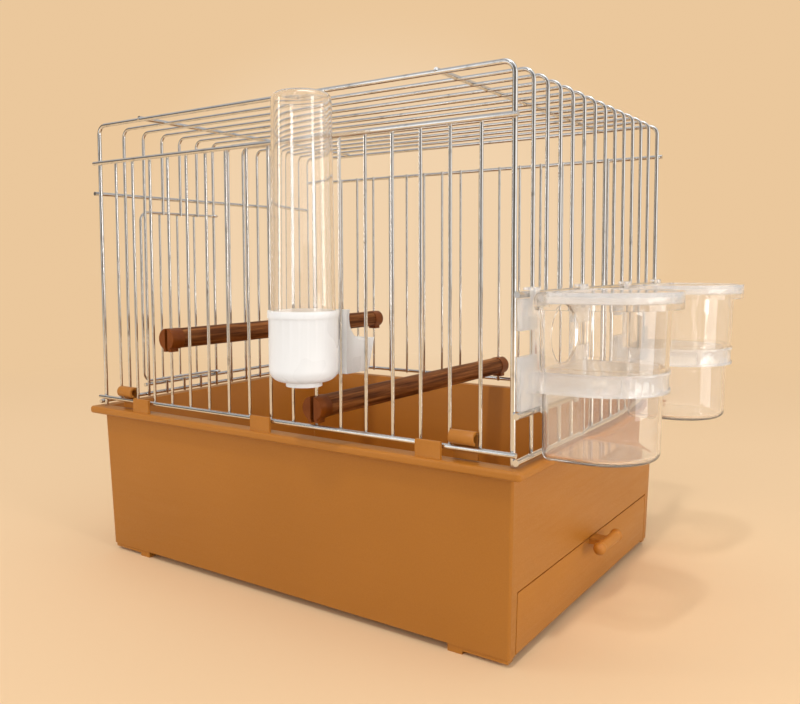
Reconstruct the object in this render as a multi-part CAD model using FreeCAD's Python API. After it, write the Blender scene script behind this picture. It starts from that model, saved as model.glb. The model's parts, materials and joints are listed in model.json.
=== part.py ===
import FreeCAD, Part
import math

V = FreeCAD.Vector

# Sizes in millimetres. +Z is up, -Y is the front and +X the drawer end.
# The origin is on the table, under the middle of the whole cage.

# Wire top
wire_pitch = 16.0
front_gaps = 18
side_depth = 208.0
hoop_pitch = 15.5
inner_hoops = 12
end_hoop_dia = 2.5
hoop_dia = 2.0
hoop_bend = 5.5
panel_wire_dia = 1.8
bar_dia = 2.5
right_bar_dia = 3.0
weld_gap = 0.05
bar_overhang = 1.6

# Levels above the top of the tub's rim, and distances between bars
hoop_top_up = 178.0
right_upper_bar_up = 76.9
right_lower_bar_up = 23.4
side_bottom_bar_up = 2.75
front_top_bar_down = 23.5
back_top_bar_down = 19.5
corner_bar_gap = 0.5
left_upper_bar_over_door = 9.9
roof_bar_in = 39.5
roof_bar_lap = 0.6
roof_bar_sink = 1.5

# Hoops cut for the two feeder hatches and for the door, counted from the front
near_hatch_hoops = (2, 3, 4)
far_hatch_hoops = (9, 10, 11)
door_hoops = (3, 4, 5)

# Tolerance for picking edges
pick = 0.01

# Tub
tub_height = 94.7
tub_wall = 2.5
tub_floor = 2.0
tub_draft = 2.7
tub_margin = 0.8
tub_corner = 1.5
tub_inner_corner = 0.5
rim_margin = 7.6
rim_thick = 4.5
rim_round = 1.6
rim_corner = 2.2
tab_width = 14.0
tab_thick = 1.7
tab_height = 8.4
tab_corner_gap = 41.0
tab_middle_x = -4.0
tab_round = 0.6
tab_clear = 0.3
foot_height = 4.2
foot_end_gap = 1.1
foot_length = 32.0
foot_width = 5.0
foot_pad_length = 8.0
foot_relief = 1.8
foot_inset = 1.0

# Drawer
drawer_side_margin = 6.9
drawer_top = 33.9
drawer_side_drop = 1.2
drawer_wall = 2.0
drawer_floor = 1.8
drawer_clear = 0.35
drawer_front_gap = 0.8
drawer_back_gap = 2.0
guide_height = 10.0
guide_thick = 2.0
ledge_thick = 2.0
ledge_reach = 2.2
pull_ball_dia = 7.2
pull_grip_dia = 6.0
pull_ball_spacing = 26.0
pull_reach = 8.6
pull_neck_width = 10.0
pull_neck_thick = 3.0

# Latches
latch_side_clear = 0.6
latch_thick = 1.5
latch_roll = 2.6
latch_clear = 0.4
latch_foot_clear = 0.3
latch_roll_end = 262.0
latch_set_in = 0.25

# Door
door_wire_dia = 1.8
door_bar_dia = 1.6
door_bend = 6.0
door_clear = 0.3
door_head_up = 125.8
door_latch_reach = 2.0
door_head_lap = 1.2

# Perches
perch_dia = 12.6
perch_cap_length = 9.4
perch_cap_out = 4.0
perch_slot_clear = 0.2
perch_spigot_dia = 6.0
perch_spigot_length = 8.0
perch_lug = 1.4
high_perch_wire = 4
low_perch_wire = 11
high_perch_up = 46.4
low_perch_up = 16.0

# Drinker
drinker_gap = 11
drinker_wall = 0.7
drinker_rim_height = 3.5
drinker_step = 0.5
drinker_base_up = 33.0
drinker_base_height = 35.0
drinker_base_round = 6.5
drinker_boss_dia = 18.0
drinker_boss_height = 2.4
drinker_floor = 3.5
drinker_wire_clear = 0.3
tube_length = 132.0
tube_foot_dia = 32.4
tube_taper = 2.9
tube_wall = 1.3
tube_dome = 4.0
tube_clear = 0.3
tube_seat_up = 8.0
trough_half = 11.0
trough_wall = 1.8
trough_reach = 24.0
trough_height = 17.0
trough_rake = 5.0
trough_round = 4.0
fin_thick = 3.0
fin_bow = 8.0
fin_bow_middle = 1.46
channel_half = 4.3
channel_height = 3.4

# Feeders
feeder_corner_gap = 40.4
cup_back_gap = 2.0
cup_depth_straight = 20.0
cup_neck_half = 26.6
cup_taper = 0.6
cup_step = 2.4
cup_flare = 1.1
cup_wall = 1.5
cup_floor = 1.8
cup_corner = 4.0
cup_foot_up = 1.0
cup_foot_round = 3.5
ring_bottom_up = 32.4
ring_height = 9.6
ring_clear = 0.5
ring_wall = 1.8
ring_root_extra = 4.2
ring_rib = 0.7
ring_rib_width = 3.3
ring_rib_angles = (-52.0, 52.0)
ring_lip = 0.7
ring_lip_height = 1.5
cup_rim_up = 71.5
cup_rim_thick = 1.4
lid_overhang = 5.0
lid_height = 4.8
lid_wall = 1.5
lid_seat = 0.3
lid_recess = 0.5
barrel_dia = 6.2
barrel_inset = 4.6
barrel_clear = 0.4
lid_pin_dia = 2.8
lid_pin_clear = 0.08
ear_thick = 1.8
mouth_half_width = 16.0
mouth_edge = 0.6
plate_thick = 2.4
plate_clear = 0.3
plate_half = 40.5
plate_notch_in = 24.0
plate_notch_bottom = 24.2
plate_notch_height = 11.6
plate_mouth_half = 20.0
hook_offset = 30.0
hook_width = 8.0
hook_thick = 1.3
foot_tab_offset = 19.0
foot_tab_width = 4.0


# Shapes used more than once

def rod(start, end, dia):
    axis = end - start
    return Part.makeCylinder(dia / 2, axis.Length, start, axis)


def bent_rod(points, bend, dia):
    edges = []
    last = points[0]
    for before, corner, after in zip(points, points[1:], points[2:]):
        back = (before - corner).normalize()
        ahead = (after - corner).normalize()
        half = back.getAngle(ahead) / 2
        start = corner + back * (bend / math.tan(half))
        end = corner + ahead * (bend / math.tan(half))
        middle = corner + (back + ahead).normalize() * (bend / math.sin(half) - bend)
        edges.append(Part.makeLine(last, start))
        edges.append(Part.Arc(start, middle, end).toShape())
        last = end
    edges.append(Part.makeLine(last, points[-1]))
    return swept(edges, points[0], points[1] - points[0], dia)


def swept(edges, start, direction, dia):
    section = Part.Wire([Part.makeCircle(dia / 2, start, direction)])
    return Part.Wire(edges).makePipeShell([section], True, False)


def box(low, high):
    return Part.makeBox(high.x - low.x, high.y - low.y, high.z - low.z, low)


def rounded_rect(half_x, half_y, radius, z):
    edges = []
    for sx, sy, turn in ((1, -1, 270), (1, 1, 0), (-1, 1, 90), (-1, -1, 180)):
        centre = V(sx * (half_x - radius), sy * (half_y - radius), z)
        edges.append(Part.makeCircle(radius, centre, V(0, 0, 1), turn, turn + 90))
    ends = [(e.valueAt(e.FirstParameter), e.valueAt(e.LastParameter)) for e in edges]
    outline = []
    for i, edge in enumerate(edges):
        outline.append(edge)
        outline.append(Part.makeLine(ends[i][1], ends[(i + 1) % 4][0]))
    return Part.Wire(outline)


def rect_loft(low, high, radius, z_low, z_high):
    outlines = [rounded_rect(*low, radius, z_low), rounded_rect(*high, radius, z_high)]
    return Part.makeLoft(outlines, True, True)


def horseshoe(back_x, round_x, half, centre_y, corner, z):
    inner = half - corner
    up = V(0, 0, 1)
    low_corner = V(back_x + corner, centre_y - inner, z)
    high_corner = V(back_x + corner, centre_y + inner, z)
    return Part.Wire([
        Part.makeLine(V(back_x + corner, centre_y - half, z), V(round_x, centre_y - half, z)),
        Part.makeCircle(half, V(round_x, centre_y, z), up, -90, 90),
        Part.makeLine(V(round_x, centre_y + half, z), V(back_x + corner, centre_y + half, z)),
        Part.makeCircle(corner, high_corner, up, 90, 180),
        Part.makeLine(V(back_x, centre_y + inner, z), V(back_x, centre_y - inner, z)),
        Part.makeCircle(corner, low_corner, up, 180, 270),
    ])


def horseshoe_loft(back_x, round_x, half_low, half_high, centre_y, corner, z_low, z_high):
    low = horseshoe(back_x, round_x, half_low, centre_y, corner, z_low)
    high = horseshoe(back_x, round_x, half_high, centre_y, corner, z_high)
    return Part.makeLoft([low, high], True, True)


def round_foot(shape, low, radius):
    return shape.makeFillet(radius, [e for e in shape.Edges if e.BoundBox.ZMax < low + pick])


def extruded(points, direction):
    return Part.Face(Part.makePolygon(points + [points[0]])).extrude(direction)


def save(name, shape):
    placed = shape.copy()
    placed.translate(origin_shift)
    placed.exportStep("parts/" + name + ".step")


def save_group(name, shapes):
    save(name, Part.makeCompound(shapes))


# Positions shared by several pieces
half_w = wire_pitch * front_gaps / 2
half_d = side_depth / 2
last_hoop = inner_hoops + 1
rim_top = tub_height
hoop_outer_x = half_w + end_hoop_dia / 2
inner_leg_x = hoop_outer_x - hoop_dia / 2
hoop_top = rim_top + hoop_top_up
inner_hoop_top = hoop_top + (end_hoop_dia - hoop_dia) / 2
left_bar_x = -(hoop_outer_x + weld_gap + bar_dia / 2)
right_bar_x = hoop_outer_x + weld_gap + right_bar_dia / 2
right_bar_outer = right_bar_x + right_bar_dia / 2
panel_bar_y = half_d + end_hoop_dia / 2 + weld_gap + bar_dia / 2
panel_wire_y = panel_bar_y - bar_dia / 2 - weld_gap - panel_wire_dia / 2
side_bar_half = half_d + end_hoop_dia / 2 + right_bar_dia / 2
front_top_z = hoop_top - front_top_bar_down
back_top_z = hoop_top - back_top_bar_down
right_upper_z = rim_top + right_upper_bar_up
right_lower_z = rim_top + right_lower_bar_up
side_bottom_z = rim_top + side_bottom_bar_up
panel_bottom_z = side_bottom_z + right_bar_dia / 2 + corner_bar_gap + bar_dia / 2
left_sill_z = panel_bottom_z + bar_dia + corner_bar_gap
leg_end_z = side_bottom_z - bar_dia / 2
hatch_top_z = right_upper_z - right_bar_dia / 2
door_head_z = rim_top + door_head_up
left_upper_z = door_head_z + left_upper_bar_over_door
rim_x = half_w + rim_margin
rim_y = half_d + rim_margin
wire_front = -panel_wire_y - panel_wire_dia / 2
wire_back = -panel_wire_y + panel_wire_dia / 2
cavity_r = tube_foot_dia / 2 + tube_clear
body_r = cavity_r + drinker_wall
rim_r = body_r + drinker_step
drink_y = wire_front - 2 * drinker_wire_clear - rim_r
cup_x = right_bar_outer + cup_back_gap
round_x = cup_x + cup_depth_straight
cup_foot_half = cup_neck_half - cup_taper
cup_shoulder_half = cup_neck_half + cup_step
cup_top_half = cup_shoulder_half + cup_flare
lid_half = cup_top_half + lid_overhang
origin_shift = V((rim_x - round_x - lid_half) / 2, (rim_r - drink_y - rim_y) / 2, 0)


def hoop_y(index):
    if index in (0, last_hoop):
        return half_d if index else -half_d
    return hoop_pitch * (index - last_hoop / 2)


def wire_x(index):
    return -half_w + wire_pitch * index


def stub(x, y, top):
    return rod(V(x, y, leg_end_z), V(x, y, top), hoop_dia)


# Base tub: tapered shell, rolled rim, front tabs, feet, drawer guides
top_x = half_w + tub_margin
top_y = half_d + tub_margin
low_x = top_x - tub_draft
low_y = top_y - tub_draft
floor_top = foot_height + tub_floor
tub_outer = rect_loft((low_x, low_y), (top_x, top_y), tub_corner, foot_height, rim_top)
floor_lift = tub_draft * tub_floor / (rim_top - foot_height)
tub_inner = rect_loft(
    (low_x + floor_lift - tub_wall, low_y + floor_lift - tub_wall),
    (top_x - tub_wall, top_y - tub_wall),
    tub_inner_corner, floor_top, rim_top)
rim_plan = Part.Face(rounded_rect(rim_x, rim_y, rim_corner, rim_top - rim_thick))
rim = rim_plan.extrude(V(0, 0, rim_thick))
rim_edges = [e for e in rim.Edges if abs(e.BoundBox.ZMax - e.BoundBox.ZMin) < pick]
rim = rim.makeFillet(rim_round, rim_edges)
tub = tub_outer.fuse(rim).cut(tub_inner)

drawer_back_x = low_x - tub_wall
drawer_half_width = low_y - drawer_side_margin
opening_y = drawer_half_width + drawer_front_gap
opening_low = V(drawer_back_x - drawer_clear, -opening_y, 0)
opening_high = V(rim_x, opening_y, drawer_top + drawer_front_gap)
tub = tub.cut(box(opening_low, opening_high))

tray_half = drawer_half_width - drawer_clear
tray_top = drawer_top - drawer_side_drop
guide_y = tray_half + drawer_clear
ledge_z = tray_top + drawer_clear
guide_x = drawer_back_x - 2 * drawer_clear
for side in (-1, 1):
    near, far = sorted((side * guide_y, side * (guide_y + guide_thick)))
    tub = tub.fuse(box(
        V(-guide_x, near, floor_top - tub_floor / 2), V(guide_x, far, floor_top + guide_height)))
    near, far = sorted((side * (tray_half - ledge_reach), side * (low_y - tub_wall / 2)))
    tub = tub.fuse(box(V(-guide_x, near, ledge_z), V(guide_x, far, ledge_z + ledge_thick)))

tab_front_y = -(panel_bar_y + bar_dia / 2 + tab_clear + tab_thick)
tab_side_x = half_w - tab_corner_gap
for x in (-tab_side_x, tab_middle_x, tab_side_x):
    tab = box(
        V(x - tab_width / 2, tab_front_y, rim_top - rim_thick / 2),
        V(x + tab_width / 2, tab_front_y + tab_thick, rim_top + tab_height))
    tab = tab.makeFillet(tab_round, [e for e in tab.Edges if e.BoundBox.ZMin > rim_top])
    tub = tub.fuse(tab)

foot_outer_x = low_x - foot_end_gap
foot_inner_x = foot_outer_x - foot_length
for sx in (-1, 1):
    for sy in (-1, 1):
        near, far = sorted((sy * (low_y - foot_inset), sy * (low_y - foot_inset - foot_width)))
        left, right = sorted((sx * foot_inner_x, sx * foot_outer_x))
        strip = box(V(left, near, foot_relief), V(right, far, foot_height + tub_floor / 2))
        left, right = sorted((sx * foot_inner_x, sx * (foot_inner_x + foot_pad_length)))
        pad = box(V(left, near, 0), V(right, far, foot_height + tub_floor / 2))
        tub = tub.fuse(strip).fuse(pad)
save("base_tub", tub.removeSplitter())

# Drawer: tray, flush front and its pull
panel = tub_outer.common(box(
    V(drawer_back_x, -drawer_half_width, foot_height + drawer_clear),
    V(rim_x, drawer_half_width, drawer_top)))
tray_back = -(drawer_back_x - drawer_back_gap)
tray_low = floor_top + drawer_clear
tray = box(V(tray_back, -tray_half, tray_low), V(drawer_back_x + drawer_wall / 2, tray_half, tray_top))
tray = tray.fuse(panel).cut(box(
    V(tray_back + drawer_wall, -tray_half + drawer_wall, tray_low + drawer_floor),
    V(drawer_back_x, tray_half - drawer_wall, drawer_top)))
tray = tray.removeSplitter()
save("drawer_tray", tray)

pull_x = top_x + pull_reach - tub_draft / 2
pull_z = drawer_top - pull_neck_thick / 2
ball_y = pull_ball_spacing / 2
pull = rod(V(pull_x, -ball_y, pull_z), V(pull_x, ball_y, pull_z), pull_grip_dia)
for side in (-1, 1):
    pull = pull.fuse(Part.makeSphere(pull_ball_dia / 2, V(pull_x, side * ball_y, pull_z)))
neck = box(
    V(low_x - tub_wall / 2, -pull_neck_width / 2, drawer_top - pull_neck_thick),
    V(pull_x, pull_neck_width / 2, drawer_top))
pull = pull.fuse(neck.cut(tray)).removeSplitter()
save("drawer_pull", max(pull.Solids, key=lambda s: s.Volume))

# Latches: a leaf on the rim whose rolled lip reaches over the front bottom bar
leaf_y = -panel_wire_y + panel_wire_dia / 2 + latch_set_in
roll_y = leaf_y - latch_roll
roll_z = panel_bottom_z + bar_dia / 2 + latch_clear + latch_roll + latch_thick / 2
latch_half = (wire_pitch - panel_wire_dia) / 2 - latch_side_clear
roll_out = latch_roll + latch_thick / 2
roll_in = latch_roll - latch_thick / 2


def roll_point(radius, turn):
    angle = math.radians(turn)
    return V(0, roll_y + radius * math.cos(angle), roll_z + radius * math.sin(angle))


def roll_arc(radius):
    ends = [roll_point(radius, turn) for turn in (0, latch_roll_end / 2, latch_roll_end)]
    return Part.Arc(*ends).toShape()


roll_face = Part.Face(Part.Wire([
    roll_arc(roll_in),
    Part.makeLine(roll_point(roll_in, latch_roll_end), roll_point(roll_out, latch_roll_end)),
    roll_arc(roll_out),
    Part.makeLine(roll_point(roll_out, 0), roll_point(roll_in, 0)),
]))
latch = roll_face.extrude(V(2 * latch_half, 0, 0)).fuse(box(
    V(0, leaf_y - latch_thick / 2, rim_top + latch_foot_clear),
    V(2 * latch_half, leaf_y + latch_thick / 2, roll_z))).removeSplitter()
for name, x in (("latch_left", wire_x(1.5)), ("latch_right", wire_x(front_gaps - 1.5))):
    placed = latch.copy()
    placed.translate(V(x - latch_half, 0, 0))
    save(name, placed)

# Hoops: both side walls and the roof
hoops = {}
for i in range(last_hoop + 1):
    y = hoop_y(i)
    if i in (0, last_hoop):
        leg_x, top, dia = half_w, hoop_top, end_hoop_dia
        left_end = right_end = rim_top + weld_gap
        name = "front_hoop" if i == 0 else "back_hoop"
    else:
        leg_x, top, dia = inner_leg_x, inner_hoop_top, hoop_dia
        left_end = door_head_z - door_head_lap if i in door_hoops else leg_end_z
        right_end = hatch_top_z if i in near_hatch_hoops + far_hatch_hoops else leg_end_z
        name = "hoop_%02d" % i
    corners = [V(-leg_x, y, left_end), V(-leg_x, y, top), V(leg_x, y, top), V(leg_x, y, right_end)]
    hoops[name] = corners, dia
    save(name, bent_rod(corners, hoop_bend, dia))

roof_bar_x = half_w - roof_bar_in
roof_bar_half = half_d + roof_bar_lap
roof_bar_z = hoop_top + end_hoop_dia / 2 + bar_dia / 2 - roof_bar_sink
for name, x in (("roof_bar_left", -roof_bar_x), ("roof_bar_right", roof_bar_x)):
    bar = rod(V(x, -roof_bar_half, roof_bar_z), V(x, roof_bar_half, roof_bar_z), bar_dia)
    for corners, dia in hoops.values():
        bar = bar.cut(rod(corners[1], corners[2], dia + 2 * weld_gap))
    save(name, bar)

# Front and back panels
bar_half = hoop_outer_x + bar_overhang
wire_low = panel_bottom_z - bar_dia / 2
for name, side, top_z in (("front", -1, front_top_z), ("back", 1, back_top_z)):
    for level, z in (("top", top_z), ("bottom", panel_bottom_z)):
        ends = V(-bar_half, side * panel_bar_y, z), V(bar_half, side * panel_bar_y, z)
        save(name + "_" + level + "_bar", rod(*ends, bar_dia))
    wires = []
    for k in range(1, front_gaps):
        foot = V(wire_x(k), side * panel_wire_y, wire_low)
        wires.append(rod(foot, foot + V(0, 0, top_z + bar_dia / 2 - wire_low), panel_wire_dia))
    save_group(name + "_wires", wires)

# Right wall bars and the stubs under the feeder hatches
for level, z in (("upper", right_upper_z), ("lower", right_lower_z), ("bottom", side_bottom_z)):
    ends = V(right_bar_x, -side_bar_half, z), V(right_bar_x, side_bar_half, z)
    save("right_" + level + "_bar", rod(*ends, right_bar_dia))
stub_top = right_lower_z + right_bar_dia / 2
for name, hoops in (("near_hatch_stubs", near_hatch_hoops), ("far_hatch_stubs", far_hatch_hoops)):
    save_group(name, [stub(inner_leg_x, hoop_y(i), stub_top) for i in hoops])

# Left wall bars and the stubs under the door
jamb_y = hoop_y(door_hoops[0] - 1)
hinge_y = hoop_y(door_hoops[-1] + 1)
sill_start = jamb_y - bar_overhang
for name, z, start in (("left_upper_bar", left_upper_z, -side_bar_half),
                       ("left_sill_bar", left_sill_z, sill_start),
                       ("left_bottom_bar", side_bottom_z, -side_bar_half)):
    save(name, rod(V(left_bar_x, start, z), V(left_bar_x, side_bar_half, z), bar_dia))
sill_top = left_sill_z + bar_dia / 2
save_group("door_stubs", [stub(-inner_leg_x, hoop_y(i), sill_top) for i in door_hoops])

# Door: one bent wire whose ends loop round the hinge hoop, and its bars
loop = hoop_dia / 2 + door_clear + door_wire_dia / 2
door_x = -inner_leg_x - loop
door_low = sill_top + door_clear + door_wire_dia / 2
door_front_y = jamb_y - door_latch_reach


def hinge_loop(z, forward):
    tip = V(-inner_leg_x, hinge_y - loop, z)
    middle = V(-inner_leg_x + loop * math.sqrt(0.5), hinge_y + loop * math.sqrt(0.5), z)
    join = V(door_x, hinge_y, z)
    return Part.Arc(tip, middle, join) if forward else Part.Arc(join, middle, tip)


high_corner = V(door_x, door_front_y, door_head_z)
low_corner = V(door_x, door_front_y, door_low)
bend_in = door_bend * (1 - math.sqrt(0.5))
high_bend = V(door_x, door_front_y + bend_in, door_head_z - bend_in)
low_bend = V(door_x, door_front_y + bend_in, door_low + bend_in)
along = V(0, door_bend, 0)
down = V(0, 0, -door_bend)
door_path = [
    hinge_loop(door_head_z, True).toShape(),
    Part.makeLine(V(door_x, hinge_y, door_head_z), high_corner + along),
    Part.Arc(high_corner + along, high_bend, high_corner + down).toShape(),
    Part.makeLine(high_corner + down, low_corner - down),
    Part.Arc(low_corner - down, low_bend, low_corner + along).toShape(),
    Part.makeLine(low_corner + along, V(door_x, hinge_y, door_low)),
    hinge_loop(door_low, False).toShape(),
]
loop_tip = V(-inner_leg_x, hinge_y - loop, door_head_z)
save("door_frame", swept(door_path, loop_tip, V(1, 0, 0), door_wire_dia))
door_bar_x = door_x - door_wire_dia / 2 - weld_gap - door_bar_dia / 2
save_group("door_bars", [
    rod(V(door_bar_x, hoop_y(i), door_low - door_wire_dia / 2),
        V(door_bar_x, hoop_y(i), door_head_z + door_wire_dia / 2), door_bar_dia) for i in door_hoops])

# Perches: a dowel with a slotted end piece on a front and a back wire
cap_out_y = panel_wire_y + perch_cap_out
cap_in_y = cap_out_y - perch_cap_length
slot_half = panel_wire_dia / 2 + perch_slot_clear
slot_in_y = panel_wire_y - panel_wire_dia / 2 - perch_slot_clear
for name, wire, level in (("high_perch", high_perch_wire, high_perch_up),
                          ("low_perch", low_perch_wire, low_perch_up)):
    x = wire_x(wire)
    z = rim_top + level
    dowel = rod(V(x, -cap_in_y, z), V(x, cap_in_y, z), perch_dia)
    caps = []
    for side in (-1, 1):
        face = V(x, side * cap_in_y, z)
        spigot_end = V(x, side * (cap_in_y - perch_spigot_length), z)
        cap = rod(face, V(x, side * cap_out_y, z), perch_dia)
        near, far = sorted((side * (slot_in_y - perch_lug), side * (cap_out_y - perch_lug / 2)))
        cap = cap.fuse(box(
            V(x - perch_dia / 4, near, z - perch_dia / 2 - perch_lug), V(x + perch_dia / 4, far, z)))
        near, far = sorted((side * slot_in_y, side * (cap_out_y + perch_lug)))
        cap = cap.cut(box(V(x - slot_half, near, z - perch_dia), V(x + slot_half, far, z + perch_dia)))
        cap = cap.fuse(rod(face, spigot_end, perch_spigot_dia)).removeSplitter()
        dowel = dowel.cut(rod(face, spigot_end, perch_spigot_dia))
        caps.append(cap)
    save(name + "_dowel", dowel)
    save_group(name + "_ends", caps)

# Drinker: base with an inner trough reached through the front wires, and its tube
drink_x = wire_x(drinker_gap + 0.5)
base_z = rim_top + drinker_base_up
base_top = base_z + drinker_base_height
up = V(0, 0, 1)
base = Part.makeCylinder(
    body_r, drinker_base_height - drinker_rim_height / 2, V(drink_x, drink_y, base_z), up)
base = round_foot(base, base_z, drinker_base_round)
base = base.fuse(Part.makeCylinder(
    rim_r, drinker_rim_height, V(drink_x, drink_y, base_top - drinker_rim_height), up))
base = base.fuse(Part.makeCylinder(
    drinker_boss_dia / 2, drinker_boss_height + drinker_floor / 2,
    V(drink_x, drink_y, base_z - drinker_boss_height), up))

fin_y = wire_back + drinker_wire_clear
neck_half = (wire_pitch - panel_wire_dia) / 2 - drinker_wire_clear
trough_low = base_z + drinker_floor / 2
trough_top = trough_low + trough_height
base = base.fuse(box(
    V(drink_x - neck_half, drink_y, trough_low), V(drink_x + neck_half, fin_y + fin_thick, trough_top)))
fin_back = fin_y + fin_thick
bow_end = fin_back + fin_bow
tip = fin_y + trough_reach
fin_top = base_top - drinker_step
sag = 1 - math.sqrt(0.5)
side_face = [
    Part.makeLine(V(0, fin_y, trough_low), V(0, fin_y, fin_top)),
    Part.makeLine(V(0, fin_y, fin_top), V(0, fin_back, fin_top)),
    Part.Arc(
        V(0, fin_back, fin_top),
        V(0, fin_back + fin_bow_middle, trough_top + (fin_top - trough_top) * sag),
        V(0, bow_end, trough_top)).toShape(),
    Part.makeLine(V(0, bow_end, trough_top), V(0, tip, trough_top)),
    Part.makeLine(V(0, tip, trough_top), V(0, tip - trough_rake, trough_low)),
    Part.makeLine(V(0, tip - trough_rake, trough_low), V(0, fin_y, trough_low)),
]
trough = Part.Face(Part.Wire(side_face)).extrude(V(2 * trough_half, 0, 0))


def round_toe(shape, low, radius):
    toe = [e for e in shape.Edges if e.BoundBox.ZMax < low + pick and e.BoundBox.YMin > well_back + pick]
    return shape.makeFillet(radius, toe)


well_back = bow_end
trough = round_toe(trough, trough_low, trough_round)
trough.translate(V(drink_x - trough_half, 0, 0))
base = base.fuse(trough)

sump_r = tube_foot_dia / 2 - tube_wall - tube_clear
seat_z = base_z + tube_seat_up
sump_z = base_z + drinker_floor
centre = V(drink_x, drink_y, 0)
base = base.cut(Part.makeCylinder(cavity_r, drinker_base_height, centre + V(0, 0, seat_z), up))
base = base.cut(Part.makeCylinder(sump_r, drinker_base_height, centre + V(0, 0, sump_z), up))
rake_slope = trough_rake / trough_height
well_tip = tip - trough_wall
well = extruded([
    V(0, well_back, sump_z),
    V(0, well_tip - rake_slope * (trough_top - sump_z), sump_z),
    V(0, well_tip + rake_slope * trough_wall, trough_top + trough_wall),
    V(0, well_back, trough_top + trough_wall),
], V(2 * (trough_half - trough_wall), 0, 0))
well = round_toe(well, sump_z, trough_round - trough_wall)
well.translate(V(drink_x - trough_half + trough_wall, 0, 0))
base = base.cut(well)
base = base.cut(box(
    V(drink_x - channel_half, drink_y, sump_z),
    V(drink_x + channel_half, well_back + trough_wall, sump_z + channel_height)))
save("drinker_base", base.removeSplitter())

tube_z = seat_z + tube_clear
tube_top = tube_z + tube_length
tube_top_r = (tube_foot_dia - tube_taper) / 2


def tube_solid(inset, low):
    cone = Part.makeCone(
        tube_foot_dia / 2 - inset, tube_top_r - inset, tube_length - inset - low,
        V(drink_x, drink_y, tube_z + low), up)
    rim_edge = [e for e in cone.Edges if e.BoundBox.ZMin > tube_top - inset - pick]
    return cone.makeFillet(tube_dome - inset, rim_edge)


tube_bore = tube_solid(tube_wall, 0)
save("drinker_tube", tube_solid(0, 0).cut(tube_bore))

# Feeders: bracket with a ring, cup standing in it, lid hinged on the cup
plate_x = hoop_outer_x + plate_clear
plate_out = plate_x + plate_thick
plate_low = right_lower_z + right_bar_dia / 2 + plate_clear
plate_high = hatch_top_z - plate_clear
hook_x = right_bar_outer + plate_clear
hook_z = right_upper_z + right_bar_dia / 2 + plate_clear
ring_low = rim_top + ring_bottom_up
ring_top = ring_low + ring_height
cup_low = rim_top + cup_foot_up
shoulder_z = ring_top + lid_seat
cup_top = rim_top + cup_rim_up
rim_high = cup_top + cup_rim_thick
mouth_z = (shoulder_z + cup_top) / 2
mouth_half_height = (cup_top - shoulder_z) / 2 - mouth_edge
feeder_out_y = half_d - feeder_corner_gap
barrel_r = barrel_dia / 2
barrel_x = cup_x + barrel_r
barrel_z = cup_top + barrel_clear + barrel_r
barrel_half = lid_half - barrel_inset
ear_in = barrel_half + barrel_clear
ear_out = ear_in + ear_thick
lid_back = barrel_x + barrel_r + barrel_clear
lid_low = rim_high + lid_seat
lid_high = lid_low + lid_height
ring_half = cup_neck_half + ring_clear
rib_r = ring_half + ring_wall
ring_root_half = rib_r + ring_root_extra
notch_low = plate_low + plate_notch_bottom

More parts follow.
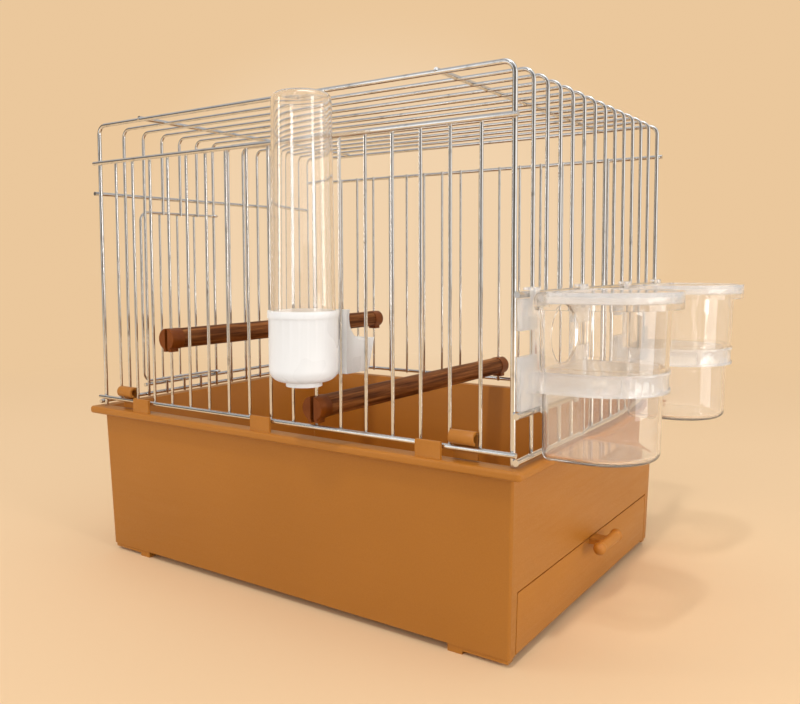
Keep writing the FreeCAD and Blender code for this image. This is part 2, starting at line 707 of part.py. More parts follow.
for name, y in (("near", -feeder_out_y), ("far", feeder_out_y)):
    # Bracket: plate between the two bars, ring, hooks and foot tabs
    bracket = box(V(plate_x, y - plate_half, plate_low), V(plate_out, y + plate_half, plate_high))
    for side in (-1, 1):
        near, far = sorted((y + side * plate_notch_in, y + side * (plate_half + plate_clear)))
        bracket = bracket.cut(box(
            V(plate_x - plate_clear, near, notch_low), V(cup_x, far, notch_low + plate_notch_height)))
    bracket = bracket.cut(box(
        V(plate_x - plate_clear, y - plate_mouth_half, ring_top),
        V(cup_x, y + plate_mouth_half, mouth_z + mouth_half_height)))
    ring_plan = horseshoe(plate_out - plate_thick / 2, round_x, rib_r, y, plate_thick / 4, ring_low)
    bracket = bracket.fuse(Part.Face(ring_plan).extrude(V(0, 0, ring_height)))
    for lip_z in (ring_low, ring_top - ring_lip_height):
        lip = horseshoe(plate_out - plate_thick / 2, round_x, rib_r + ring_lip, y, plate_thick / 4, lip_z)
        bracket = bracket.fuse(Part.Face(lip).extrude(V(0, 0, ring_lip_height)))
    bracket = bracket.fuse(box(
        V(plate_x, y - ring_root_half, ring_low), V(cup_x - ring_clear, y + ring_root_half, ring_top)))
    for angle in ring_rib_angles:
        rib = box(
            V(rib_r - ring_wall / 2, -ring_rib_width / 2, ring_low),
            V(rib_r + ring_rib, ring_rib_width / 2, ring_top))
        rib.rotate(V(0, 0, 0), up, angle)
        rib.translate(V(round_x, y, 0))
        bracket = bracket.fuse(rib)
    for offset in (-hook_offset, hook_offset):
        left = y + offset - hook_width / 2
        right = y + offset + hook_width / 2
        bracket = bracket.fuse(box(
            V(plate_x, left, plate_high - hook_width), V(hook_x + hook_thick, right, plate_high)))
        bracket = bracket.fuse(box(
            V(hook_x, left, plate_high - hook_width),
            V(hook_x + hook_thick, right, hook_z + hook_thick)))
        bracket = bracket.fuse(box(
            V(plate_x, left, hook_z), V(hook_x + hook_thick, right, hook_z + hook_thick)))
    for offset in (-foot_tab_offset, foot_tab_offset):
        left = y + offset - foot_tab_width / 2
        right = y + offset + foot_tab_width / 2
        bracket = bracket.fuse(box(
            V(plate_x, left, plate_low), V(hook_x + hook_thick, right, plate_low + foot_tab_width)))
        bracket = bracket.fuse(box(
            V(hook_x, left, right_lower_z - right_bar_dia / 2),
            V(hook_x + hook_thick, right, plate_low + foot_tab_width)))
    ring_hole = horseshoe(cup_x - ring_clear, round_x, ring_half, y, cup_corner, ring_low - ring_clear)
    bracket = bracket.cut(Part.Face(ring_hole).extrude(V(0, 0, ring_height + 2 * ring_clear)))
    save(name + "_feeder_bracket", bracket.removeSplitter())

    # Cup: narrow lower part, shoulder on the ring, wider upper part with the mouth
    cup = horseshoe_loft(
        cup_x, round_x, cup_foot_half, cup_neck_half, y, cup_corner, cup_low, shoulder_z)
    cup = round_foot(cup, cup_low, cup_foot_round)
    cup = cup.fuse(horseshoe_loft(
        cup_x, round_x, cup_shoulder_half, cup_top_half, y, cup_corner, shoulder_z, cup_top))
    flange = Part.Face(horseshoe(cup_x, round_x, lid_half, y, cup_corner, cup_top - cup_rim_thick))
    flange = flange.extrude(V(0, 0, 2 * cup_rim_thick))
    flange = flange.cut(box(V(cup_x, y - ear_in, cup_top), V(lid_back, y + ear_in, lid_low)))
    cup = cup.fuse(flange)
    inner_x = cup_x + cup_wall
    inner_corner = cup_corner - cup_wall
    hollow_low = cup_low + cup_floor
    hollow = horseshoe_loft(
        inner_x, round_x, cup_foot_half - cup_wall, cup_neck_half - cup_wall, y, inner_corner,
        hollow_low, shoulder_z + cup_wall)
    cup = cup.cut(round_foot(hollow, hollow_low, cup_foot_round - cup_wall))
    cup = cup.cut(horseshoe_loft(
        inner_x, round_x, cup_shoulder_half - cup_wall, cup_top_half - cup_wall, y, inner_corner,
        shoulder_z + cup_wall, rim_high))
    mouth = Part.Face(Part.Wire([Part.makeCircle(mouth_half_height, V(0, 0, 0), V(1, 0, 0))]))
    widen = FreeCAD.Matrix()
    widen.scale(1, mouth_half_width / mouth_half_height, 1)
    mouth = mouth.transformGeometry(widen).extrude(V(3 * cup_wall, 0, 0))
    mouth.translate(V(cup_x - cup_wall, y, mouth_z))
    cup = cup.cut(mouth)
    axis_low = V(barrel_x, y - ear_out - lid_pin_clear, barrel_z)
    axis_high = V(barrel_x, y + ear_out + lid_pin_clear, barrel_z)
    for side in (-1, 1):
        near, far = sorted((y + side * ear_in, y + side * ear_out))
        cup = cup.fuse(rod(V(barrel_x, near, barrel_z), V(barrel_x, far, barrel_z), barrel_dia))
        cup = cup.fuse(box(
            V(barrel_x - barrel_r, near, cup_top - cup_rim_thick), V(barrel_x + barrel_r, far, barrel_z)))
    cup = cup.cut(rod(axis_low, axis_high, lid_pin_dia + 2 * lid_pin_clear))
    save(name + "_feeder_cup", cup.removeSplitter())

    # Lid: shallow cap, hinge barrel along its back and a pin at each end
    lid = Part.Face(horseshoe(cup_x, round_x, lid_half, y, cup_corner, lid_low))
    lid = lid.extrude(V(0, 0, lid_height))
    hollow = Part.Face(horseshoe(cup_x, round_x, lid_half - lid_wall, y, cup_corner, lid_low))
    lid = lid.cut(hollow.extrude(V(0, 0, lid_height - lid_wall - lid_recess)))
    dish = horseshoe(lid_back + lid_wall, round_x, lid_half - 2 * lid_wall, y, cup_corner, lid_high)
    lid = lid.cut(Part.Face(dish).extrude(V(0, 0, -lid_recess)))
    lid = lid.cut(box(V(cup_x, y - lid_half, lid_low), V(lid_back, y + lid_half, lid_high)))
    lid = lid.fuse(rod(
        V(barrel_x, y - barrel_half, barrel_z), V(barrel_x, y + barrel_half, barrel_z), barrel_dia))
    lid = lid.fuse(box(
        V(barrel_x, y - barrel_half, barrel_z),
        V(lid_back + lid_wall, y + barrel_half, barrel_z + barrel_r)))
    lid = lid.fuse(rod(
        V(barrel_x, y - ear_out, barrel_z), V(barrel_x, y + ear_out, barrel_z), lid_pin_dia))
    save(name + "_feeder_lid", lid.removeSplitter())
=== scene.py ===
import json
import math

import bmesh
import bpy
from mathutils import Matrix, Vector, noise


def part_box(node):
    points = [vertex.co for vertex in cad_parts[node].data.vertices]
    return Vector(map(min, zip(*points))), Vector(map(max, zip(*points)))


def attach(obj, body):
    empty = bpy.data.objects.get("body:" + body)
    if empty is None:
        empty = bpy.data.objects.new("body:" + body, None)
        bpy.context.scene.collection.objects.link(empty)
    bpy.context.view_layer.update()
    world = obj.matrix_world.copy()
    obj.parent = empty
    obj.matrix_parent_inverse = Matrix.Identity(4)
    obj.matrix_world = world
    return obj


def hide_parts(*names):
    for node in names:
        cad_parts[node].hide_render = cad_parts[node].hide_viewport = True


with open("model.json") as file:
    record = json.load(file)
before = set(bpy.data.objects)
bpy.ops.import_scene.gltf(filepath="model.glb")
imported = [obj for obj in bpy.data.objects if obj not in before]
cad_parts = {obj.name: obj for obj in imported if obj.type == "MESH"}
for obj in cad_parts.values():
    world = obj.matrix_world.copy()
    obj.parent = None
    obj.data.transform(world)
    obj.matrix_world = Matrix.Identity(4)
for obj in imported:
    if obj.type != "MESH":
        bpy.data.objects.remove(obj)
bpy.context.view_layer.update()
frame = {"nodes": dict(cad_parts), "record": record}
nodes = frame["nodes"]

# The object's lengths are millimetres from the middle of the tub, on the table, as in the part's source.
# The stage, its cards and its lamps are in metres.
MM = 0.001
tub_low, tub_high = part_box("base_tub")
tub_middle = Vector(((tub_low.x + tub_high.x) / 2, (tub_low.y + tub_high.y) / 2, 0))


def at(x, y, z):
    return tub_middle + Vector((x, y, z)) * MM


def new_object(name, data):
    piece = bpy.data.objects.new(name, data)
    bpy.context.scene.collection.objects.link(piece)
    return piece


# Camera at the photograph's viewing angle, for an image of this many pixels
IMAGE_WIDTH = 800
IMAGE_HEIGHT = 704
FOCAL_PIXELS = 808.363
AXIS_PIXEL = (384.69, 318.83)
CAMERA_PLACE = at(299.32, -427.29, 185.44)
YAW, PITCH, ROLL = (math.radians(v) for v in (34.742, 3.912, -0.226))
SENSOR_WIDTH = 36.0
CLIP_START = 0.01
CLIP_END = 50

camera_data = bpy.data.cameras.new("camera")
camera = new_object("camera", camera_data)
camera_data.sensor_width = SENSOR_WIDTH
camera_data.lens = SENSOR_WIDTH * FOCAL_PIXELS / IMAGE_WIDTH
camera_data.shift_x = (IMAGE_WIDTH / 2 - AXIS_PIXEL[0]) / IMAGE_WIDTH
camera_data.shift_y = (AXIS_PIXEL[1] - IMAGE_HEIGHT / 2) / IMAGE_WIDTH
camera_data.clip_start = CLIP_START
camera_data.clip_end = CLIP_END
back = Vector((math.sin(YAW) * math.cos(PITCH), -math.cos(YAW) * math.cos(PITCH), math.sin(PITCH)))
level = Vector((math.cos(YAW), math.sin(YAW), 0))
upright = level.cross(-back)
right = level * math.cos(ROLL) + upright * math.sin(ROLL)
up = upright * math.cos(ROLL) - level * math.sin(ROLL)
camera.matrix_world = Matrix.Translation(CAMERA_PLACE) @ Matrix((right, up, back)).transposed().to_4x4()
bpy.context.scene.camera = camera
bpy.context.scene.view_settings.view_transform = "Standard"

# Sockets of the Mix node when it mixes colours
MIX_FACTOR = 0
MIX_FIRST = 6
MIX_SECOND = 7
MIX_RESULT = 2

# Bounces after which light leaves a clear wall
WALL_BOUNCES = 5.5


class Tree:
    """A node tree with short ways to add and join nodes."""

    def __init__(self, tree):
        self.tree = tree

    def add(self, kind, **settings):
        node = self.tree.nodes.new("ShaderNode" + kind)
        for key, value in settings.items():
            setattr(node, key, value)
        return node

    def join(self, source, target):
        self.tree.links.new(source, target)

    def feed(self, socket, value):
        """Joins a socket's value, or sets a colour or a number."""
        if isinstance(value, bpy.types.NodeSocket):
            self.join(value, socket)
        elif isinstance(value, tuple):
            socket.default_value = (*value, 1)
        else:
            socket.default_value = value

    def calculate(self, operation, first, second):
        node = self.add("Math", operation=operation)
        self.feed(node.inputs[0], first)
        self.feed(node.inputs[1], second)
        return node.outputs["Value"]

    def range(self, value, low, high, start=0.3, end=0.7, interpolation="LINEAR"):
        """Values from start to end become low to high."""
        node = self.add("MapRange", interpolation_type=interpolation)
        node.inputs["From Min"].default_value = start
        node.inputs["From Max"].default_value = end
        node.inputs["To Min"].default_value = low
        node.inputs["To Max"].default_value = high
        self.join(value, node.inputs["Value"])
        return node.outputs["Result"]

    def blend(self, factor, first, second, mode="MIX"):
        node = self.add("Mix", data_type="RGBA", blend_type=mode)
        self.feed(node.inputs[MIX_FACTOR], factor)
        self.feed(node.inputs[MIX_FIRST], first)
        self.feed(node.inputs[MIX_SECOND], second)
        return node.outputs[MIX_RESULT]

    def mix_shaders(self, factor, first, second):
        node = self.add("MixShader")
        for source, socket in zip((factor, first, second), node.inputs):
            self.join(source, socket)
        return node.outputs["Shader"]


class Surface(Tree):
    """A material's node tree with its shader."""

    def __init__(self, name):
        self.material = bpy.data.materials.new(name)
        self.material.use_nodes = True
        super().__init__(self.material.node_tree)
        self.shader = self.tree.nodes["Principled BSDF"]
        self.output = self.tree.nodes["Material Output"]
        self.place = self.add("TexCoord").outputs["Object"]

    def set(self, **values):
        for key, value in values.items():
            self.shader.inputs[key.replace("_", " ")].default_value = value

    def stretched(self, scale):
        mapping = self.add("Mapping")
        mapping.inputs["Scale"].default_value = scale
        self.join(self.place, mapping.inputs["Vector"])
        return mapping.outputs["Vector"]

    def noise(self, scale, detail=3.0, rough=0.5, vector=None):
        node = self.add("TexNoise")
        node.inputs["Scale"].default_value = scale
        node.inputs["Detail"].default_value = detail
        node.inputs["Roughness"].default_value = rough
        self.join(vector or self.place, node.inputs["Vector"])
        return node.outputs["Fac"]

    def ramp(self, value, *stops):
        node = self.add("ValToRGB")
        while len(node.color_ramp.elements) < len(stops):
            node.color_ramp.elements.new(0.5)
        for element, (position, colour) in zip(node.color_ramp.elements, stops):
            element.position = position
            element.color = (*colour, 1)
        self.join(value, node.inputs["Fac"])
        return node.outputs["Color"]

    def bump(self, *layers):
        """Each layer is a height, its strength and its distance in millimetres."""
        normal = None
        for height, strength, distance in layers:
            node = self.add("Bump")
            node.inputs["Strength"].default_value = strength
            node.inputs["Distance"].default_value = distance * MM
            self.join(height, node.inputs["Height"])
            if normal:
                self.join(normal, node.inputs["Normal"])
            normal = node.outputs["Normal"]
        self.join(normal, self.shader.inputs["Normal"])

    def colour(self, socket):
        self.join(socket, self.shader.inputs["Base Color"])

    def roughness(self, socket):
        self.join(socket, self.shader.inputs["Roughness"])

    def lets_light_through(self, tint):
        """Lamps shine through, and light that bounces often inside a wall leaves it, so no edge is black."""
        path = self.add("LightPath")
        clear = self.add("BsdfTransparent")
        clear.inputs["Color"].default_value = (*tint, 1)
        trapped = self.calculate("GREATER_THAN", path.outputs["Ray Depth"], WALL_BOUNCES)
        passes = self.calculate("MAXIMUM", path.outputs["Is Shadow Ray"], trapped)
        mixed = self.mix_shaders(passes, self.shader.outputs["BSDF"], clear.outputs["BSDF"])
        self.join(mixed, self.output.inputs["Surface"])


def brown_plastic():
    dark, pale = (0.425, 0.149, 0.012), (0.470, 0.168, 0.016)
    flow_mark, fleck = (0.500, 0.190, 0.030), (0.365, 0.121, 0.012)
    t = Surface("brown_plastic")
    t.set(IOR=1.5, Specular_IOR_Level=0.40)
    cloud = t.noise(scale=11, detail=2)
    grain = t.noise(scale=1500, detail=2)
    flow = t.noise(scale=6, detail=4, rough=0.6, vector=t.stretched((1, 1, 9)))
    body = t.ramp(cloud, (0.25, dark), (0.75, pale))
    body = t.blend(t.range(flow, 0.0, 0.35, start=0.55, end=0.85), body, flow_mark)
    body = t.blend(t.range(grain, 0.0, 0.25), body, fleck)
    t.colour(body)
    scuff = t.noise(scale=30, detail=6, rough=0.65, vector=t.stretched((1, 1, 14)))
    t.roughness(t.range(t.blend(0.5, scuff, grain), 0.34, 0.50))
    t.bump((grain, 0.20, 0.05), (t.noise(scale=240, detail=3), 0.10, 0.06), (cloud, 0.35, 0.9))
    return t.material


def plated_wire():
    spot, plate, bright = (0.50, 0.495, 0.49), (0.72, 0.722, 0.725), (0.79, 0.795, 0.80)
    t = Surface("plated_wire")
    t.set(Metallic=1.0)
    spots = t.noise(scale=150, detail=4, rough=0.6)
    t.colour(t.ramp(spots, (0.26, spot), (0.40, plate), (0.75, bright)))
    fine = t.noise(scale=900, detail=3)
    t.roughness(t.range(t.blend(0.5, spots, fine), 0.22, 0.12))
    t.bump((fine, 0.08, 0.03), (t.noise(scale=320, detail=2), 0.10, 0.05))
    return t.material


def perch_wood():
    darkest, dark = (0.050, 0.012, 0.002), (0.150, 0.043, 0.008)
    pale, palest = (0.290, 0.096, 0.021), (0.470, 0.185, 0.052)
    shade, pore = (0.30, 0.22, 0.16), (0.040, 0.011, 0.002)
    t = Surface("perch_wood")
    t.set(Specular_IOR_Level=0.12)
    fibres = t.noise(scale=1, detail=6, rough=0.62, vector=t.stretched((420, 14, 420)))
    pores = t.noise(scale=1, detail=3, rough=0.6, vector=t.stretched((1500, 60, 1500)))
    figure = t.noise(scale=1, detail=3, rough=0.5, vector=t.stretched((90, 7, 90)))
    wood = t.ramp(fibres, (0.32, darkest), (0.45, dark), (0.57, pale), (0.70, palest))
    wood = t.blend(t.range(figure, 0.0, 0.45), wood, shade, "MULTIPLY")
    wood = t.blend(t.range(pores, 0.75, 0.0, start=0.28, end=0.42), wood, pore)
    t.colour(wood)
    t.roughness(t.range(fibres, 0.62, 0.40))
    t.bump((pores, 0.40, 0.12), (fibres, 0.50, 0.25))
    return t.material


def perch_end_plastic():
    dark, pale = (0.165, 0.034, 0.001), (0.220, 0.052, 0.003)
    t = Surface("perch_end_plastic")
    t.set(Specular_IOR_Level=0.25)
    cloud = t.noise(scale=160, detail=3)
    grain = t.noise(scale=1800, detail=2)
    t.colour(t.ramp(cloud, (0.3, dark), (0.7, pale)))
    t.roughness(t.range(grain, 0.34, 0.52))
    t.bump((grain, 0.25, 0.05), (cloud, 0.2, 0.12))
    return t.material


def white_plastic():
    dark, pale = (0.868, 0.842, 0.810), (0.892, 0.870, 0.842)
    t = Surface("white_plastic")
    t.set(IOR=1.49)
    cloud = t.noise(scale=45, detail=2)
    t.colour(t.ramp(cloud, (0.1, dark), (0.9, pale)))
    t.roughness(t.range(cloud, 0.25, 0.31, start=0.1, end=0.9))
    t.bump((cloud, 0.05, 0.08))
    return t.material


TUBE_CLEARNESS = 0.98
CUP_CLEARNESS = 0.958


def clear_plastic(name="clear_plastic", clearness=TUBE_CLEARNESS):
    tint, shadow = (0.99, 0.985, 0.98, 1), (0.90, 0.885, 0.865)
    t = Surface(name)
    t.set(IOR=1.49, Transmission_Weight=clearness, Base_Color=tint)
    wave = t.noise(scale=45, detail=2)
    streak = t.noise(scale=1, detail=3, rough=0.6, vector=t.stretched((160, 160, 14)))
    t.roughness(t.range(streak, 0.0, 0.012))
    t.bump((wave, 0.03, 0.10))
    t.lets_light_through(shadow)
    return t.material


def frosted_plastic():
    tint, shadow = (0.975, 0.97, 0.965, 1), (0.80, 0.785, 0.765)
    t = Surface("frosted_plastic")
    t.set(IOR=1.49, Transmission_Weight=0.76, Base_Color=tint)
    cloud = t.noise(scale=90, detail=2)
    t.roughness(t.range(cloud, 0.08, 0.18))
    t.bump((cloud, 0.05, 0.08))
    t.lets_light_through(shadow)
    return t.material


# Each material has the name of its slot; the cups are a little milkier than the tube
MAKERS = (
    brown_plastic, plated_wire, perch_wood, perch_end_plastic, white_plastic, clear_plastic, frosted_plastic)
materials = {make.__name__: make() for make in MAKERS}
cup_plastic = clear_plastic("cup_plastic", CUP_CLEARNESS)

for part in frame["record"]["subparts"]:
    mesh = nodes[part["node"]].data
    mesh.materials.clear()
    mesh.materials.append(cup_plastic if part["node"].endswith("_cup") else materials[part["material_slot"]])

# Moulded edges: the width of the small round on each of these plastic nodes, in millimetres
ROUNDS = {
    "base_tub": 0.5,
    "drawer_tray": 0.5,
    "latch_left": 0.3,
    "latch_right": 0.3,
    "drinker_base": 0.25,
    "near_feeder_bracket": 0.3,
    "far_feeder_bracket": 0.3,
    "near_feeder_lid": 0.4,
    "far_feeder_lid": 0.4,
}
ROUND_SEGMENTS = 2
SHARP_ANGLE = math.radians(40)
FLAT_ANGLE = math.radians(0.5)
JOIN_WITHIN = 0.002 * MM


def round_edges(piece, width):
    piece.data.polygons.foreach_set("use_smooth", [True] * len(piece.data.polygons))
    join = piece.modifiers.new("join", "WELD")
    join.merge_threshold = JOIN_WITHIN
    flat = piece.modifiers.new("flat", "DECIMATE")
    flat.decimate_type = "DISSOLVE"
    flat.angle_limit = FLAT_ANGLE
    bevel = piece.modifiers.new("round", "BEVEL")
    bevel.width = width * MM
    bevel.segments = ROUND_SEGMENTS
    bevel.limit_method = "ANGLE"
    bevel.angle_limit = SHARP_ANGLE
    bevel.harden_normals = True


for name, width in ROUNDS.items():
    round_edges(nodes[name], width)

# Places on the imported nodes
LOW, HIGH = 0, 1
X_AXIS, Y_AXIS, Z_AXIS = range(3)


def limits(node):
    low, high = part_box(node)
    return (low - tub_middle) / MM, (high - tub_middle) / MM


def middle(node):
    low, high = limits(node)
    return (low + high) / 2


# Wires that the bars are welded to, the hoops counted from the front
WIRE_PITCH = 16.0
FRONT_GAPS = 18
INNER_HOOPS = 12
SILL_FIRST_HOOP = 2
DOOR_BAR_HOOPS = (3, 4, 5)
DOOR_WIRE_RADIUS = 0.9

hoops = ["front_hoop"] + ["hoop_%02d" % i for i in range(1, INNER_HOOPS + 1)] + ["back_hoop"]
hoop_y = [middle(name).y for name in hoops]
wire_x = [WIRE_PITCH * (k - FRONT_GAPS / 2) for k in range(FRONT_GAPS + 1)]

# Weld beads: reach along the wires and depth between them
PANEL_BEAD = (1.1, 0.8)
ROOF_BEAD = (1.7, 1.15)
WALL_BEAD = (1.05, 0.8)
DOOR_BEAD = (1.05, 0.75)
ROOF_BEAD_UP = 0.75

# How the beads differ in reach
BEAD_MEAN = 0.88
BEAD_SPREAD = 0.24
BEAD_NOISE_SCALE = 0.37
BEAD_SEED = 3.1
BEAD_SEED_STEP = 1.7
BEAD_SUBDIVISIONS = 2


def weld_beads(name, body, spots, depth_axis, bead):
    """One mesh with a small flattened bead at each crossing."""
    reach, depth = bead
    mesh = bpy.data.meshes.new(name)
    shape = bmesh.new()
    for index, spot in enumerate(spots):
        seed = Vector((index * BEAD_SEED_STEP, BEAD_SEED, 0))
        swell = BEAD_MEAN + BEAD_SPREAD * noise.noise(Vector(spot) * BEAD_NOISE_SCALE + seed)
        size = [reach * swell] * 3
        size[depth_axis] = depth
        place = Matrix.Translation(at(*spot)) @ Matrix.Diagonal(Vector((*size, 1))) @ Matrix.Scale(MM, 4)
        bmesh.ops.create_icosphere(shape, subdivisions=BEAD_SUBDIVISIONS, radius=1.0, matrix=place)
    shape.to_mesh(mesh)
    shape.free()
    mesh.polygons.foreach_set("use_smooth", [True] * len(mesh.polygons))
    mesh.materials.append(materials["plated_wire"])
    piece = new_object(name, mesh)
    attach(piece, body)


for side, inner in (("front", HIGH), ("back", LOW)):
    bars = (side + "_top_bar", side + "_bottom_bar")
    spots = [(x, limits(bar)[inner].y, middle(bar).z) for x in wire_x for bar in bars]
    weld_beads(side + "_welds", "cage", spots, Y_AXIS, PANEL_BEAD)

bars = ("roof_bar_left", "roof_bar_right")
spots = [(middle(bar).x, y, limits(bar)[LOW].z + ROOF_BEAD_UP) for y in hoop_y for bar in bars]
weld_beads("roof_welds", "cage", spots, Z_AXIS, ROOF_BEAD)

bars = ("right_upper_bar", "right_lower_bar", "right_bottom_bar")
spots = [(limits(bar)[LOW].x, y, middle(bar).z) for y in hoop_y for bar in bars]
weld_beads("right_welds", "cage", spots, X_AXIS, WALL_BEAD)

bars = {"left_upper_bar": 0, "left_bottom_bar": 0, "left_sill_bar": SILL_FIRST_HOOP}
spots = [(limits(bar)[HIGH].x, y, middle(bar).z) for bar, first in bars.items() for y in hoop_y[first:]]
weld_beads("left_welds", "cage", spots, X_AXIS, WALL_BEAD)

door_low, door_high = limits("door_frame")
door_z = (door_low.z + DOOR_WIRE_RADIUS, door_high.z - DOOR_WIRE_RADIUS)
spots = [(limits("door_bars")[HIGH].x, hoop_y[i], z) for i in DOOR_BAR_HOOPS for z in door_z]
weld_beads("door_welds", "door", spots, X_AXIS, DOOR_BEAD)

# Perch dowels: turned wood with fibres and shallow furrows, drilled at both ends for the end pieces
PERCH_SEEDS = {"high_perch": 2.3, "low_perch": 7.9}
PERCH_RINGS = 150
PERCH_STEPS = 72
HOLE_RADIUS = 3.05
HOLE_DEPTH = 8.0

# Furrows, fibres and lumps: their scale round the dowel and along it, their seed and their height
WOOD_RELIEF = (
    (5.5, 0.020, 0, 0.12),
    (17.0, 0.045, 4, 0.09),
    (1.2, 0.030, 9, 0.09),
)
WOOD_INSET = 0.30


def wood_radius(radius, turn, y, seed):
    around = Vector((math.cos(turn), math.sin(turn), 0))
    size = radius - WOOD_INSET
    for round_scale, along_scale, layer_seed, height in WOOD_RELIEF:
        size += height * noise.noise(around * round_scale + Vector((seed, layer_seed, y * along_scale)))
    return size


def perch_dowel(name, node, seed):
    low, high = limits(node)
    x, z = (low.x + high.x) / 2, (low.z + high.z) / 2
    radius = (high.x - low.x) / 2
    shape = bmesh.new()
    turns = [2 * math.pi * i / PERCH_STEPS for i in range(PERCH_STEPS)]
    hole = [HOLE_RADIUS] * PERCH_STEPS

    def ring(y, sizes):
        spots = [(x + size * math.cos(t), y, z + size * math.sin(t)) for t, size in zip(turns, sizes)]
        return [shape.verts.new(at(*spot)) for spot in spots]

    rings = [ring(y, hole) for y in (low.y + HOLE_DEPTH, low.y)]
    for i in range(PERCH_RINGS + 1):
        y = low.y + (high.y - low.y) * i / PERCH_RINGS
        rings.append(ring(y, [wood_radius(radius, turn, y, seed) for turn in turns]))
    rings += [ring(y, hole) for y in (high.y, high.y - HOLE_DEPTH)]
    for first, second in zip(rings, rings[1:]):
        for i in range(PERCH_STEPS):
            j = (i + 1) % PERCH_STEPS
            shape.faces.new((first[i], first[j], second[j], second[i]))
    shape.faces.new(rings[0])
    shape.faces.new(rings[-1])
    bmesh.ops.recalc_face_normals(shape, faces=shape.faces)
    mesh = bpy.data.meshes.new(name)
    shape.to_mesh(mesh)
    shape.free()
    # The two flat bottoms of the holes have more than four corners and stay flat
    mesh.polygons.foreach_set("use_smooth", [len(p.vertices) == 4 for p in mesh.polygons])
    mesh.materials.append(materials["perch_wood"])
    piece = new_object(name, mesh)
    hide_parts(node)
    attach(piece, "cage")


for perch, seed in PERCH_SEEDS.items():
    perch_dowel(perch + "_wood", perch + "_dowel", seed)


# Stage: places are in metres, and angles in degrees from the front towards the right
def round_about(angle, distance, height):
    turn = math.radians(angle)
    return Vector((distance * math.sin(turn), -distance * math.cos(turn), height))


def rectangle(low, high, height):
    return [
        (low[0], low[1], height), (high[0], low[1], height),
        (high[0], high[1], height), (low[0], high[1], height)]


def stage_mesh(name, corners, faces, material):
    mesh = bpy.data.meshes.new(name)
    mesh.from_pydata(corners, [], faces)
    mesh.materials.append(material)
    piece = new_object(name, mesh)
    return piece


# The background's colour, with a soft pool of light behind the object
BACKDROP = (0.830, 0.575, 0.332)
POOL = (0.880, 0.648, 0.416)
POOL_AIM = Vector((-math.sin(YAW), math.cos(YAW), -0.05)).normalized()
POOL_EDGE = (0.935, 0.98)

# Rays that show the background. The others light the object.
SEEN = ("Is Camera Ray", "Is Transmission Ray", "Is Glossy Ray")


def backdrop_colour(t, direction):
    along = t.add("VectorMath", operation="DOT_PRODUCT")
    along.inputs[1].default_value = POOL_AIM
    t.join(direction, along.inputs[0])
    spread = t.range(along.outputs["Value"], 0.0, 1.0, *POOL_EDGE, interpolation="SMOOTHSTEP")
    return t.blend(spread, BACKDROP, POOL)


def seen_ray(t):
    """1 for the rays that show the background, otherwise 0."""
    path = t.add("LightPath")
    seen = path.outputs[SEEN[0]]
    for kind in SEEN[1:]:
        seen = t.calculate("MAXIMUM", seen, path.outputs[kind])
    return seen


# The floor takes shadows near the object and fades into the background's colour, between these distances
FLOOR = (0.845, 0.590, 0.346)
FLOOR_BOUNCE = (0.60, 0.58, 0.56)
FLOOR_FADE = (0.45, 1.15)
FLOOR_HALF = 12.0


def floor_material():
    t = Surface("floor")
    t.set(Roughness=0.75, Specular_IOR_Level=0.15)
    seen = seen_ray(t)
    t.colour(t.blend(seen, FLOOR_BOUNCE, FLOOR))
    heading = t.add("VectorMath", operation="NORMALIZE")
    t.join(t.place, heading.inputs[0])
    glow = t.add("Emission")
    t.join(backdrop_colour(t, heading.outputs["Vector"]), glow.inputs["Color"])
    distance = t.add("VectorMath", operation="LENGTH")
    t.join(t.place, distance.inputs[0])
    far = t.calculate("MULTIPLY", seen, t.range(distance.outputs["Value"], 0.0, 1.0, *FLOOR_FADE))
    mixed = t.mix_shaders(far, t.shader.outputs["BSDF"], glow.outputs["Emission"])
    t.join(mixed, t.output.inputs["Surface"])
    return t.material


floor_corners = rectangle((-FLOOR_HALF, -FLOOR_HALF), (FLOOR_HALF, FLOOR_HALF), 0)
stage_mesh("floor", floor_corners, [(0, 1, 2, 3)], floor_material())

# World: soft light from all round, and the background's colour where it shows
AMBIENT_COLOUR = (1.0, 0.99, 0.98, 1)
AMBIENT_STRENGTH = 0.60

world = bpy.data.worlds.new("world")
bpy.context.scene.world = world
world.use_nodes = True
sky = Tree(world.node_tree)
ambient = sky.tree.nodes["Background"]
ambient.inputs["Color"].default_value = AMBIENT_COLOUR
ambient.inputs["Strength"].default_value = AMBIENT_STRENGTH
shown = sky.add("Background")
sky.join(backdrop_colour(sky, sky.add("TexCoord").outputs["Generated"]), shown.inputs["Color"])
mixed = sky.mix_shaders(seen_ray(sky), ambient.outputs["Background"], shown.outputs["Background"])
sky.join(mixed, sky.tree.nodes["World Output"].inputs["Surface"])

# Cards round the tub that only shiny surfaces see, as studios hang them for clear and plated objects
CARD_STEPS = 24


def reflection_card(name, corners, faces, colour):
    material = bpy.data.materials.new(name)
    material.use_nodes = True
    card_nodes = material.node_tree.nodes
    card_nodes.remove(card_nodes["Principled BSDF"])
    glow = card_nodes.new("ShaderNodeEmission")
    glow.inputs["Color"].default_value = (*colour, 1)
    material.node_tree.links.new(glow.outputs["Emission"], card_nodes["Material Output"].inputs["Surface"])
    card = stage_mesh(name, [tub_middle + Vector(corner) for corner in corners], faces, material)
    card.visible_camera = False
    card.visible_diffuse = False
    card.visible_transmission = False
    card.visible_shadow = False


def wall_card(name, angles, heights, distance, colour):
    corners = []
    for step in range(CARD_STEPS + 1):
        angle = angles[0] + (angles[1] - angles[0]) * step / CARD_STEPS
        corners += [round_about(angle, distance, height) for height in heights]
    faces = [(2 * i, 2 * i + 2, 2 * i + 3, 2 * i + 1) for i in range(CARD_STEPS)]
    reflection_card(name, corners, faces, colour)


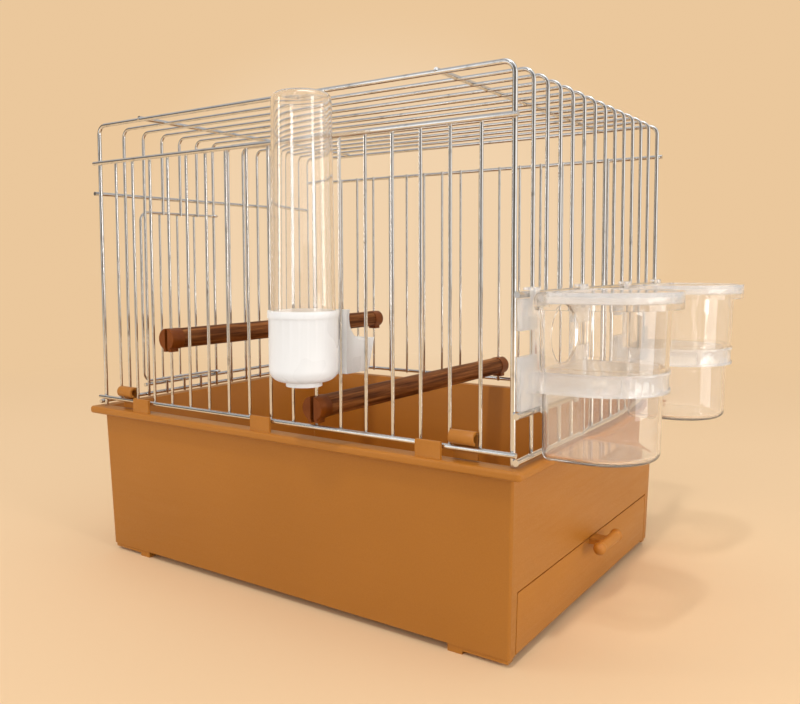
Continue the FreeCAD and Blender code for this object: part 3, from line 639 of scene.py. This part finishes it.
def ceiling_card(name, low, high, height, colour):
    reflection_card(name, rectangle(low, high, height), [(0, 1, 2, 3)], colour)


wall_card("grey_card", angles=(-42, 150), heights=(-0.2, 1.6), distance=2.1, colour=(0.60, 0.555, 0.51))
wall_card("dark_card", angles=(0, 52), heights=(-0.2, 1.6), distance=2.0, colour=(0.11, 0.09, 0.07))
wall_card("bright_right", angles=(60, 112), heights=(0.19, 1.3), distance=1.9, colour=(1.32, 1.24, 1.15))
ceiling_card("grey_ceiling", low=(-3.0, -3.0), high=(4.0, 3.0), height=2.0, colour=(0.55, 0.54, 0.53))
ceiling_card("dark_ceiling", low=(-0.5, -1.5), high=(4.0, -0.7), height=1.95, colour=(0.18, 0.175, 0.17))
ceiling_card("bright_ceiling", low=(0.2, -0.35), high=(3.6, 0.30), height=1.95, colour=(1.9, 1.88, 1.85))
wall_card("window_right", angles=(80, 103), heights=(0.005, 0.16), distance=0.72, colour=(4.2, 4.13, 4.06))
wall_card("window_above", angles=(88, 99), heights=(0.17, 0.55), distance=0.72, colour=(1.3, 1.28, 1.25))
wall_card("left_card", angles=(-88, 0), heights=(-0.2, 1.2), distance=2.0, colour=(0.16, 0.135, 0.11))
wall_card("window_left", angles=(-34, -16), heights=(0.005, 0.80), distance=1.0, colour=(1.3, 1.28, 1.25))

# Lamps face the middle of the cage, and their places are from there
CAGE_MIDDLE = at(0, 0, 130)
KEY_FROM = Vector((0.1, -1.12, 2.0))
KEY_ANGLE = math.radians(3.0)
STRIP_LEFT_FROM = round_about(-52, 1.4, 0.20)
STRIP_RIGHT_FROM = round_about(80, 1.4, 0.20)
FILL_FROM = Vector((0.5, -1.5, 0.5))
SOFTBOX_FROM = Vector((0.2, 0.1, 1.5))


def lamp(name, kind, offset, energy, **settings):
    data = bpy.data.lights.new(name, kind)
    data.energy = energy
    for key, value in settings.items():
        setattr(data, key, value)
    piece = new_object(name, data)
    piece.location = CAGE_MIDDLE + offset
    piece.rotation_mode = "QUATERNION"
    piece.rotation_quaternion = (CAGE_MIDDLE - piece.location).to_track_quat("-Z", "Y")
    return piece


def soft_lamp(name, offset, watts, width, height, in_reflections=False):
    piece = lamp(name, "AREA", offset, watts, shape="RECTANGLE", size=width, size_y=height)
    piece.visible_glossy = in_reflections


lamp("key", "SUN", KEY_FROM, energy=0.80, angle=KEY_ANGLE)
soft_lamp("strip_left", STRIP_LEFT_FROM, watts=4.5, width=0.22, height=0.8)
soft_lamp("strip_right", STRIP_RIGHT_FROM, watts=7.0, width=0.26, height=0.8)
soft_lamp("front_fill", FILL_FROM, watts=4.2, width=1.2, height=0.9)
soft_lamp("softbox_top", SOFTBOX_FROM, watts=3.0, width=1.0, height=1.0, in_reflections=True)
